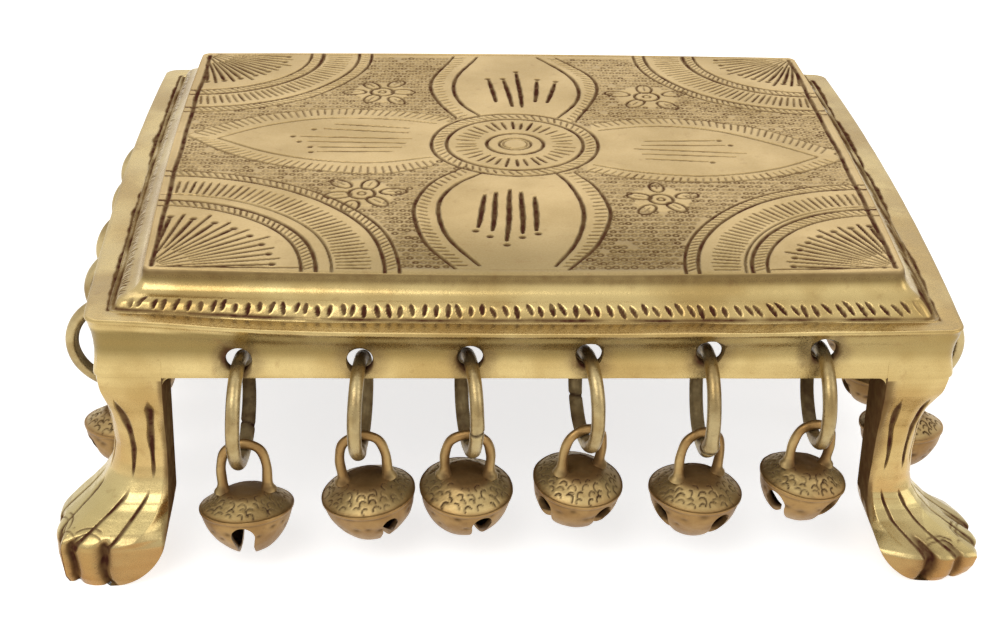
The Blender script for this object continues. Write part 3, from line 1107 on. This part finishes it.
def make_slot(radius, middle, lower, turn, width, drop):
    """A round-headed slot that crosses the foot of the bell, a little narrower at its foot."""
    half = width / 2
    head = middle - drop - half
    q = np.linspace(-0.12 * math.pi, 1.12 * math.pi, 21)
    shape = [(half * math.cos(a), head + half * math.sin(a)) for a in q]
    shape += [(-half * 0.74, head - half * 1.3), (-half * 0.7, middle - lower - 3),
              (half * 0.7, middle - lower - 3),
              (half * 0.74, head - half * 1.3)]
    shape = np.array(shape)
    n = len(shape)
    reach = radius + 3
    verts = np.concatenate([np.stack([shape[:, 0], np.full(n, y), shape[:, 1]], -1) for y in (-reach, reach)])
    faces = [tuple(range(n)), tuple(range(2 * n - 1, n - 1, -1))]
    faces += [(k, n + k, n + (k + 1) % n, (k + 1) % n) for k in range(n)]
    ob = plain_object("slot", verts, faces)
    ob.data.transform(Matrix.Rotation(math.radians(turn), 4, "Z"))
    return ob


def make_loop(diameter, crown, rng):
    """The cast loop: an arch of round wire with spread feet."""
    top = LOOP_TOP - LOOP_WIRE
    half = diameter * LOOP_SPAN / 2 - LOOP_WIRE
    foot = crown - 0.7
    line = curve([(-half * 1.02, foot), (-half * 0.99, foot + 1.7), (-half, top - half * 1.05),
                  (-half * 0.74, top - half * 0.3), (0, top),
                  (half * 0.74, top - half * 0.3), (half, top - half * 1.05), (half * 0.99, foot + 1.7),
                  (half * 1.02, foot)], 0.4 * DETAIL)
    steps, sides = len(line), 20 // DETAIL
    normal = line_normals(line)
    w = full_turn(sides)
    near_foot = np.exp(-np.clip(line[:, 1] - foot - 0.5, 0, 9) / 0.65)
    ripple = 1 + 0.035 * np.sin(np.arange(steps) * 0.55 * DETAIL + rng.uniform(0, 6))
    size = LOOP_WIRE * (1 + 0.75 * near_foot) * ripple
    verts = np.stack([
        line[:, None, 0] + size[:, None] * np.cos(w) * normal[:, None, 0],
        size[:, None] * np.sin(w) * 0.95 + 0 * line[:, None, 0],
        line[:, None, 1] + size[:, None] * np.cos(w) * normal[:, None, 1],
    ], -1).reshape(-1, 3)
    verts = np.vstack([verts, [line[0, 0], 0, line[0, 1]], [line[-1, 0], 0, line[-1, 1]]])
    inner = 0.5 * smooth(0.2, 0.9, -np.cos(np.tile(w, steps)))
    return mesh_object("loop", verts, closed_faces(steps, sides), {"dark": np.concatenate([inner, [0, 0]])})


def bell_marks(angle, share, height, radius, rng):
    """Punched curls on the crown and dents on the bowl, by angle, radius share and height over the ridge."""
    cut, tone = np.zeros(angle.shape), np.zeros(angle.shape)
    x, y = share * radius * np.cos(angle), share * radius * np.sin(angle)
    on_crown = height > 0.3
    for count, place in ((22, 0.875), (19, 0.76), (15, 0.65), (10, 0.52)):
        first = rng.uniform(0, 1)
        for k in range(count):
            a = (k + first) / count * 2 * math.pi + rng.uniform(-0.06, 0.06)
            r = radius * (place + rng.uniform(-0.025, 0.025))
            dx, dy = x - r * math.cos(a), y - r * math.sin(a)
            near = np.hypot(dx, dy)
            turn = (np.arctan2(dy, dx) - a - math.pi / 2 - rng.uniform(-0.9, 0.9)) % (2 * math.pi)
            size, strong = rng.uniform(0.5, 0.8), rng.uniform(0.5, 1.0)
            on = np.exp(-(((near - size) / 0.13) ** 2)) * (turn < rng.uniform(2.4, 3.6)) * on_crown
            cut += 0.12 * on * strong
            tone = np.maximum(tone, 1.6 * on * strong)
    for k in range(20):
        a = k / 20 * 2 * math.pi + rng.uniform(-0.12, 0.12)
        h = -rng.uniform(0.9, 4.6)
        near = np.hypot(((angle - a + math.pi) % (2 * math.pi) - math.pi) * radius * 0.6, height - h)
        on = np.exp(-((near / rng.uniform(0.3, 0.6)) ** 2)) * ~on_crown
        cut += 0.14 * on
        tone = np.maximum(tone, 0.5 * on)
    return cut, tone


def hanging(low, row, k):
    """Where a bell hangs: the height of the wire that bears it, its roll and its lean."""
    roll, lean = BELL_ROLL[row][k], BELL_LEAN.get(row, [0] * 6)[k]
    turn = Matrix.Rotation(math.radians(lean), 4, "X") @ Matrix.Rotation(math.radians(-roll), 4, "Y")
    return Matrix.Translation(Vector((0, 0, low)) * MM) @ turn


def make_bell(name, diameter, low, matrix, seed, row, k):
    rng = np.random.default_rng(SEED * 7 + seed)
    radius = diameter / 2
    fullness = FRONT_FULLNESS[k] if row == "front" else rng.uniform(0.0, 0.9)
    outer, middle, lower = bell_profile(diameter, fullness)
    steps = 168 // DETAIL
    line = curve(outer, 0.30 * DETAIL)
    line = line[line[:, 0] > 0.05]
    a, r = np.meshgrid(full_turn(steps), line[:, 0])
    z = np.repeat(line[:, 1:2], steps, 1)
    cut, tone = bell_marks(a, r / radius, z - middle, radius, rng)
    x, y = r * np.cos(a), r * np.sin(a)
    rough = 0.09 * wobble(60 + seed, x / 3, y / 3, z / 2.5) + 0.03 * wobble(62 + seed, x, y, z)
    shift = cut + 0.08 + rough
    normal = line_normals(line)
    r = r - shift * np.abs(normal[:, 0:1])
    z = z - shift * np.sign(z - middle) * np.abs(normal[:, 1:2])
    verts = np.vstack([revolved(r, a, z), [0, 0, z[0].mean()], [0, 0, z[-1].mean()]])
    faces = closed_faces(len(line), steps, flip=True)
    body = mesh_object(name, verts, faces, {"dark": np.concatenate([tone.ravel(), [0, 0]])})
    # The hollow
    inner = []
    for p, h in outer:
        side, end = BELL_WALL * min(1, p / radius * 1.6), math.copysign(BELL_WALL, h - middle)
        inner.append((max(0.0, p - side), h - end * (1 - (p / radius) ** 2)))
    inner = curve(inner, 0.9 * DETAIL)
    inner = inner[inner[:, 0] > 0.05]
    steps_in = 72 // DETAIL
    b, ri = np.meshgrid(full_turn(steps_in), inner[:, 0])
    cave = np.vstack([revolved(ri, b, np.repeat(inner[:, 1:2], steps_in, 1)), [0, 0, inner[0, 1]],
                      [0, 0, inner[-1, 1]]])
    cave_faces = closed_faces(len(inner), steps_in, flip=True)
    hollow = mesh_object("hollow", cave, cave_faces, {"dark": np.ones(len(cave))})
    combine(body, make_loop(diameter, outer[0, 1], rng), "UNION")
    combine(body, hollow, "DIFFERENCE")
    turn, openings, width, drop = SLOTS[row][k]
    yaw = BELL_YAW[row][k]
    for angle in (turn - yaw, turn - yaw - 92)[:2 if openings == FOUR else 1]:
        combine(body, make_slot(radius, middle, lower, angle, width, drop), "DIFFERENCE")
    me = body.data
    me.set_sharp_from_angle(angle=math.radians(45))
    co = vertex_values(me, "co") / MM
    dark = np.nan_to_num(get_floats(me, "dark"))
    r = np.hypot(co[:, 0], co[:, 1])
    inner_r = np.interp(-co[:, 2], -inner[:, 1], inner[:, 0])
    within = (r < inner_r + 0.08) & (co[:, 2] < inner[0, 1] + 0.05) & (co[:, 2] > inner[-1, 1] - 0.05)
    crown = outer[0, 1]
    off_loop, rise = r - diameter * LOOP_SPAN / 2 + LOOP_WIRE, co[:, 2] - crown
    foot = np.exp(-((off_loop / 1.3) ** 2) - (rise / 0.8) ** 2)
    neck = (1 - smooth(0.46, 0.66, r / radius)) * (np.abs(rise) < 1.1)
    seam = 0.4 * np.exp(-(((co[:, 2] - middle + 0.62) / 0.2) ** 2)) * (r > radius * 0.9)
    dark = np.maximum.reduce([dark, within * 1.0, 0.6 * foot,
                              0.34 * neck * (0.8 + 0.3 * wobble(71 + seed, co[:, 0], co[:, 1])),
                              np.clip(seam * (0.6 + 0.4 * wobble(70 + seed, co[:, 0], co[:, 1])), 0, 1)])
    set_floats(me, "dark", np.clip(dark, 0, 1))
    # Handling has brought the crown's slope to a paler colour than the rest
    pale = smooth(0.1, 0.9, (co[:, 2] - middle)) * smooth(0.42, 0.62, r / radius)
    set_floats(me, "pale", np.clip(pale * (0.8 + 0.35 * wobble(72 + seed, co[:, 0] / 3, co[:, 1] / 3)), 0, 1))
    hang = hanging(low, row, k)
    me.transform(matrix @ hang @ Matrix.Rotation(math.radians(yaw), 4, "Z"))
    return body, middle, lower


def make_pellet(name, low, middle, lower, matrix, seed, row, k):
    """The loose pellet, a rough round nugget that rests over the slot."""
    radius = 2.35
    rows, steps = 20 // DETAIL, 32 // DETAIL
    a, b = np.meshgrid(full_turn(steps), np.linspace(0, math.pi, rows + 2)[1:-1])
    x, y, z = np.sin(b) * np.cos(a), np.sin(b) * np.sin(a), np.cos(b)
    size = radius * (0.97 + 0.03 * wobble(80 + seed, x * 2, y * 2, z * 2))
    verts = np.stack([size * x, size * y, size * z], -1).reshape(-1, 3)
    verts = np.vstack([verts, [0, 0, radius * 0.97], [0, 0, -radius * 0.97]])
    ob = mesh_object(name, verts, closed_faces(rows, steps, flip=True), {"dark": np.full(len(verts), 0.7)})
    at = (0, 0, middle - lower + BELL_WALL + radius - 0.3)
    if (row, k) == ("front", 0):
        # This one shows through the slot and lies to one side
        at = (3.1, 2.4, at[2] + 2.3)
    ob.data.transform(matrix @ hanging(low, row, k) @ Matrix.Translation(Vector(at) * MM))
    return ob


# Materials
class Nodes:
    """A brass material and the nodes that feed its shader."""

    def __init__(self, name):
        self.mat = bpy.data.materials.new(name)
        self.tree = empty_tree(self.mat)
        self.shader = self.add("BsdfPrincipled")
        self.add("OutputMaterial", {0: self.shader.outputs[0]})
        self.place = self.add("TexCoord").outputs["Object"]

    def add(self, kind, sockets=None, **settings):
        return add_node(self.tree, kind, sockets, **settings)

    def attribute(self, name):
        return self.add("Attribute", attribute_name=name).outputs["Fac"]

    def noise(self, scale, detail=4, rough=0.55):
        return self.add("TexNoise", {"Scale": scale, "Detail": detail, "Roughness": rough,
                                     "Vector": self.place}).outputs["Fac"]

    def brushed(self, scale):
        """Noise drawn out into level streaks."""
        stretch = self.add("Mapping", {"Scale": (0.03, 0.03, 1.0), "Vector": self.place}).outputs[0]
        return self.add("TexNoise", {"Scale": scale, "Detail": 3, "Vector": stretch}).outputs["Fac"]

    def math(self, how, a, b, clamp=False):
        return self.add("Math", {0: a, 1: b}, operation=how, use_clamp=clamp).outputs[0]

    def ramp(self, value, low, high, to_low=0.0, to_high=1.0):
        ends = {"From Min": low, "From Max": high, "To Min": to_low, "To Max": to_high}
        return self.add("MapRange", {"Value": value, **ends},
                        interpolation_type="SMOOTHSTEP").outputs["Result"]

    def mix(self, share, a, b):
        return self.add("Mix", {"Factor": share, "A": a, "B": b}, data_type="RGBA").outputs["Result"]

    def tint(self, colour, share, amount, rgb):
        """The colour with another over it, by share times amount."""
        return self.mix(self.math("MULTIPLY", share, amount), colour, srgb(*rgb))

    def finish(self, colour, dull, metal, rough, height, strength):
        """Feeds the shader. Dirt, where dull is high, takes away the metal and its shine.

        metal holds how dull it is where no metal is left, its value when clean, and the dirt's roughness.
        """
        dull_end, metallic, dull_rough = metal
        base = self.shader.inputs
        self.tree.links.new(colour, base["Base Color"])
        self.tree.links.new(self.ramp(dull, 0.05, dull_end, metallic, 0.0), base["Metallic"])
        self.tree.links.new(self.ramp(dull, 0.0, 0.5, 0.3, 0.0), base["Specular IOR Level"])
        self.tree.links.new(self.math("MAXIMUM", rough, self.math("MULTIPLY", dull, dull_rough)),
                            base["Roughness"])
        bump = self.add("Bump", {"Distance": 0.00012, "Strength": strength, "Height": height})
        self.tree.links.new(bump.outputs[0], base["Normal"])
        return self.mat


def srgb(r, g, b):
    """A colour as it is seen, 0 to 255, as the linear numbers that the shader wants."""
    c = [v / 255 for v in (r, g, b)]
    return tuple(v / 12.92 if v <= 0.04045 else ((v + 0.055) / 1.055) ** 2.4 for v in c) + (1.0,)


def casting_brass():
    m = Nodes("casting_brass")
    names = ("dark", "raw", "polish", "dull", "warm", "worn")
    dark, raw, polish, dull_band, warm, worn = (m.attribute(name) for name in names)
    cloud, spots, fine = m.noise(55, 3), m.noise(420, 4, 0.6), m.noise(2600, 3, 0.6)
    matte = m.mix(m.ramp(cloud, 0.3, 0.7), srgb(180, 154, 104), srgb(200, 174, 124))
    bright = m.mix(m.ramp(cloud, 0.35, 0.65), srgb(176, 148, 92), srgb(206, 182, 124))
    colour = m.mix(polish, matte, bright)
    colour = m.mix(dull_band, colour, srgb(128, 108, 62))
    colour = m.tint(colour, polish, m.ramp(m.brushed(420), 0.4, 0.75, 0.0, 0.35), (150, 122, 70))
    colour = m.tint(colour, warm, m.ramp(m.noise(90, 3), 0.25, 0.7, 0.15, 0.6), (176, 122, 64))
    colour = m.tint(colour, worn, 0.5, (212, 200, 144))
    colour = m.tint(colour, m.ramp(spots, 0.58, 0.75), 0.25, (140, 104, 62))
    shade = m.math("MULTIPLY", dark, m.ramp(spots, 0.3, 0.75, 0.75, 1.15), True)
    colour = m.mix(shade, colour, srgb(80, 46, 34))
    colour = m.tint(colour, raw, m.ramp(spots, 0.2, 0.7, 0.75, 1.0), (104, 70, 46))
    rough = m.math("ADD", m.ramp(polish, 0.0, 1.0, 0.48, 0.27), m.ramp(fine, 0.3, 0.7, -0.05, 0.08))
    streaks = m.math("ADD", m.math("MULTIPLY", m.brushed(900), 0.5), m.math("MULTIPLY", fine, 0.2))
    dull = m.math("MAXIMUM", shade, raw)
    return m.finish(colour, dull, (0.6, 0.92, 0.62), rough, m.math("ADD", streaks, spots), 0.4)


def small_brass(name, light, deep, crown, rough_low, rough_high, metallic=0.9):
    m = Nodes(name)
    dark = m.attribute("dark")
    cloud, spots, fine = m.noise(160, 3), m.noise(700, 4, 0.6), m.noise(3200, 3, 0.6)
    colour = m.mix(m.ramp(cloud, 0.3, 0.7), srgb(*light), srgb(*deep))
    if crown:
        colour = m.tint(colour, m.attribute("pale"), 0.8, crown)
    colour = m.tint(colour, m.ramp(spots, 0.56, 0.78), 0.35, (110, 82, 52))
    shade = m.math("MULTIPLY", dark, m.ramp(spots, 0.25, 0.7, 0.75, 1.05), True)
    colour = m.mix(shade, colour, srgb(60, 38, 30))
    rough = m.ramp(fine, 0.3, 0.7, rough_low, rough_high)
    height = m.math("ADD", m.math("MULTIPLY", fine, 0.3), spots)
    return m.finish(colour, shade, (0.7, metallic, 0.6), rough, height, 0.6)


def dress(ob, material, body, node=None):
    """Gives a piece its material and its place in the frame."""
    ob.data.materials.clear()
    ob.data.materials.append(material)
    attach(ob, body)
    if node:
        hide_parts(node)


dress(make_casting(), casting_brass(), "table", "table_casting")
ring_mat = small_brass("ring_brass", (184, 164, 118), (150, 126, 82), None, 0.26, 0.40)
bell_mat = small_brass("bell_brass", (168, 134, 84), (140, 106, 62), (198, 174, 120), 0.36, 0.50, 0.82)
pellet_mat = small_brass("pellet_brass", (120, 96, 64), (90, 70, 48), None, 0.45, 0.6, 0.6)
seed = 100
for row, k, ring_share, diameter, web_top, matrix in places():
    seed += 5
    label = f"{row}_{k + 1}"
    rise, growth = (rows.get(row, [plain] * 6)[k] for rows, plain in ((RING_RISE, 0), (BELL_GROWTH, 1)))
    ring, low = make_ring(f"ring_{label}_dressed", ring_share, web_top, matrix, seed, RING_YAW[row][k],
                          RING_JOINT[row][k], rise)
    dress(ring, ring_mat, f"ring_{label}", f"ring_{label}")
    bell, middle, lower = make_bell(f"bell_{label}_dressed", diameter * growth, low, matrix, seed, row, k)
    dress(bell, bell_mat, f"bell_{label}", f"bell_{label}")
    pellet = make_pellet(f"pellet_{label}", low, middle, lower, matrix, seed, row, k)
    dress(pellet, pellet_mat, f"bell_{label}")

bpy.context.view_layer.update()
